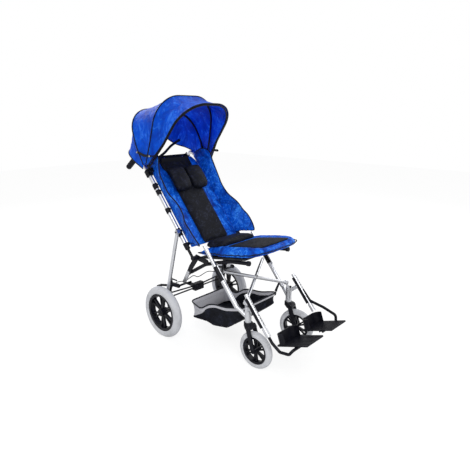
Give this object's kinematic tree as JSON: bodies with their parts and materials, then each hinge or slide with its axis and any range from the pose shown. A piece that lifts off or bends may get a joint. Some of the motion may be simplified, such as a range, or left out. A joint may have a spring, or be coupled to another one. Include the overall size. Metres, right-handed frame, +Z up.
{
  "type": "special needs stroller",
  "caption": "Folding push chair for a disabled child: padded blue seat and back on an aluminium tube frame with a hood, side wings, sliding footrests, swivel front wheels and a basket",
  "frame": {"origin": "on the floor, under the middle of the overall box", "axes": "+X is the child's left, -Y is the way the stroller travels, +Z is up"},
  "size_m": [0.6056, 1.2945, 1.3562],
  "materials": {
    "silver_tube": "satin silver anodised tube",
    "black_metal": "satin black powder coat",
    "black_plastic": "matt black moulded plastic",
    "steel": "plain steel",
    "blue_cloth": "bright blue woven nylon",
    "black_cloth": "black woven nylon",
    "grey_cloth": "dark grey net and cloth",
    "tyre_grey": "light grey tyre rubber",
    "grip_rubber": "black foam rubber",
    "seat_ply": "dark covered board"
  },
  "bodies": {
    "front_frame": {"front_leg_tubes": "silver_tube", "front_leg_sleeves": "black_plastic", "lock_rods": "silver_tube", "cross_bars": "silver_tube", "cross_bolt": "steel", "caster_heads": "silver_tube", "caster_caps": "black_plastic", "footrest_channels": "black_metal", "basket": "grey_cloth", "seat_pivots": "steel"},
    "seat_frame": {"seat_rails": "black_metal", "side_plates": "black_metal", "link_plates": "silver_tube", "seat_board": "seat_ply", "seat_cushion": "blue_cloth", "seat_pad": "black_cloth", "seat_block": "black_cloth"},
    "back_frame": {"push_tubes": "silver_tube", "fork_rods": "black_metal", "handle_grips": "grip_rubber", "tube_clamps": "black_plastic", "leg_brackets": "black_plastic", "back_panel": "blue_cloth", "side_wings": "blue_cloth", "back_liner": "black_cloth", "top_band": "black_cloth", "band_rivets": "steel", "bolster_pads": "black_cloth", "hood_brackets": "black_plastic", "hood_panel_rear": "blue_cloth", "hood_panel_mid": "blue_cloth", "hood_panel_front": "blue_cloth"},
    "rear_frame": {"rear_legs": "silver_tube", "rear_plates": "black_metal", "rear_brace": "black_metal", "brake_cable": "black_plastic"},
    "hood_rear": {"hood_bow_rear": "black_metal"},
    "hood_mid": {"hood_bow_mid": "black_metal"},
    "hood_front": {"hood_bow_front": "black_metal"},
    "stay_rear": {"stay_rear_links": "black_plastic"},
    "stay_front": {"stay_front_links": "black_plastic"},
    "fold_pedal": {"fold_pedal": "black_plastic"},
    "brake_left": {"brake_lever_left": "black_metal"},
    "brake_right": {"brake_lever_right": "black_metal"},
    "rear_wheel_left": {"rear_tyre_left": "tyre_grey", "rear_rim_left": "black_plastic"},
    "rear_wheel_right": {"rear_tyre_right": "tyre_grey", "rear_rim_right": "black_plastic"},
    "caster_left": {"caster_fork_left": "black_plastic"},
    "caster_right": {"caster_fork_right": "black_plastic"},
    "front_wheel_left": {"front_tyre_left": "tyre_grey", "front_rim_left": "black_plastic"},
    "front_wheel_right": {"front_tyre_right": "tyre_grey", "front_rim_right": "black_plastic"},
    "footrest_left": {"footrest_tube_left": "silver_tube", "footrest_arm_left": "black_metal"},
    "footrest_right": {"footrest_tube_right": "silver_tube", "footrest_arm_right": "black_metal"},
    "footplate_left": {"footplate_left": "black_plastic"},
    "footplate_right": {"footplate_right": "black_plastic"}
  },
  "joints": [
    {"name": "seat_fold", "type": "hinge", "parent": "front_frame", "child": "seat_frame", "pos_m": [0, -0.06934, 0.50299], "axis": [1, 0, 0], "range_deg": [0, 35]},
    {"name": "back_fold", "type": "hinge", "parent": "seat_frame", "child": "back_frame", "pos_m": [0, 0.082, 0.502], "axis": [-1, 0, 0], "range_deg": [0, 35]},
    {"name": "rear_fold", "type": "hinge", "parent": "back_frame", "child": "rear_frame", "pos_m": [0, 0.175, 0.639], "axis": [-1, 0, 0], "range_deg": [0, 40]},
    {"name": "hood_fold", "type": "hinge", "parent": "back_frame", "child": "hood_rear", "pos_m": [0, 0.417, 0.951], "axis": [-1, 0, 0], "range_deg": [0, 35], "deforming": ["hood_panel_rear", "hood_panel_mid", "hood_panel_front"]},
    {"name": "hood_mid_turn", "type": "hinge", "parent": "hood_rear", "child": "hood_mid", "pos_m": [0, 0.417, 0.951], "axis": [-1, 0, 0], "range_deg": [0, 16]},
    {"name": "hood_front_turn", "type": "hinge", "parent": "hood_mid", "child": "hood_front", "pos_m": [0, 0.417, 0.951], "axis": [-1, 0, 0], "range_deg": [0, 7.5]},
    {"name": "stay_rear_turn", "type": "hinge", "parent": "hood_rear", "child": "stay_rear", "pos_m": [0, 0.46433, 1.05251], "axis": [-1, 0, 0], "range_deg": [-50, 0]},
    {"name": "stay_front_turn", "type": "hinge", "parent": "hood_front", "child": "stay_front", "pos_m": [0, 0.34728, 1.03865], "axis": [-1, 0, 0], "range_deg": [0, 50]},
    {"name": "pedal_turn", "type": "hinge", "parent": "rear_frame", "child": "fold_pedal", "pos_m": [0, 0.2944, 0.22467], "axis": [-1, 0, 0], "range_deg": [0, 25]},
    {"name": "brake_left_turn", "type": "hinge", "parent": "rear_frame", "child": "brake_left", "pos_m": [0.216, 0.2638, 0.3], "axis": [-1, 0, 0], "range_deg": [0, 20]},
    {"name": "brake_right_turn", "type": "hinge", "parent": "rear_frame", "child": "brake_right", "pos_m": [-0.216, 0.2638, 0.3], "axis": [-1, 0, 0], "range_deg": [0, 20]},
    {"name": "rear_wheel_left_spin", "type": "hinge", "parent": "rear_frame", "child": "rear_wheel_left", "pos_m": [0.277, 0.272, 0.152], "axis": [1, 0, 0], "continuous": true},
    {"name": "rear_wheel_right_spin", "type": "hinge", "parent": "rear_frame", "child": "rear_wheel_right", "pos_m": [-0.277, 0.272, 0.152], "axis": [1, 0, 0], "continuous": true},
    {"name": "caster_left_swivel", "type": "hinge", "parent": "front_frame", "child": "caster_left", "pos_m": [0.174, -0.29, 0.239], "axis": [0, 0, 1], "continuous": true},
    {"name": "caster_right_swivel", "type": "hinge", "parent": "front_frame", "child": "caster_right", "pos_m": [-0.174, -0.29, 0.239], "axis": [0, 0, 1], "continuous": true},
    {"name": "front_wheel_left_spin", "type": "hinge", "parent": "caster_left", "child": "front_wheel_left", "pos_m": [0.18682, -0.34143, 0.1], "axis": [0.9703, 0.2419, 0], "continuous": true},
    {"name": "front_wheel_right_spin", "type": "hinge", "parent": "caster_right", "child": "front_wheel_right", "pos_m": [-0.17215, -0.34297, 0.1], "axis": [0.9994, 0.0349, 0], "continuous": true},
    {"name": "footrest_left_slide", "type": "slide", "parent": "front_frame", "child": "footrest_left", "axis": [0, -0.6419, -0.7668], "range_m": [0, 0.06]},
    {"name": "footrest_right_slide", "type": "slide", "parent": "front_frame", "child": "footrest_right", "axis": [0, -0.6419, -0.7668], "range_m": [0, 0.06]},
    {"name": "footplate_left_tilt", "type": "hinge", "parent": "footrest_left", "child": "footplate_left", "pos_m": [0.107, -0.582, 0.196], "axis": [1, 0, 0], "range_deg": [-15, 20]},
    {"name": "footplate_right_tilt", "type": "hinge", "parent": "footrest_right", "child": "footplate_right", "pos_m": [-0.107, -0.582, 0.196], "axis": [1, 0, 0], "range_deg": [-15, 20]}
  ],
  "couplings": [
    {"joint": "back_fold", "follows": "seat_fold", "ratio": 1},
    {"joint": "rear_fold", "follows": "seat_fold", "ratio": 1.1429},
    {"joint": "hood_mid_turn", "follows": "hood_fold", "ratio": 0.45714},
    {"joint": "hood_front_turn", "follows": "hood_fold", "ratio": 0.21429},
    {"joint": "stay_rear_turn", "follows": "hood_fold", "ratio": -0.89368},
    {"joint": "stay_front_turn", "follows": "hood_fold", "ratio": 0.89368}
  ]
}
